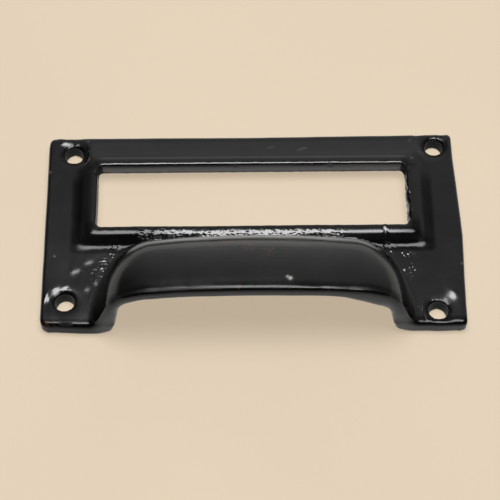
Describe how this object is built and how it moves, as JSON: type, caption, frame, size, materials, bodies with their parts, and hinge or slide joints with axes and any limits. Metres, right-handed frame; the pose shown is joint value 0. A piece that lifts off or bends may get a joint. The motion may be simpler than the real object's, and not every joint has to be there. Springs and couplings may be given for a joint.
{
  "type": "label frame pull",
  "caption": "Black cast iron drawer pull: a screw plate with a raised label window frame over a hollow finger hood, lying on its back.",
  "frame": {"origin": "centre of the back face, which lies on z = 0", "axes": "+X along the plate's width, +Y up the drawer front when mounted, +Z out of the drawer front"},
  "size_m": [0.1, 0.0524, 0.021],
  "materials": {
    "black_lacquered_iron": "black lacquer over a rough casting, satin to glossy, with small chips and rust specks"
  },
  "bodies": {
    "root": {"pull_casting": "black_lacquered_iron"}
  },
  "joints": []
}
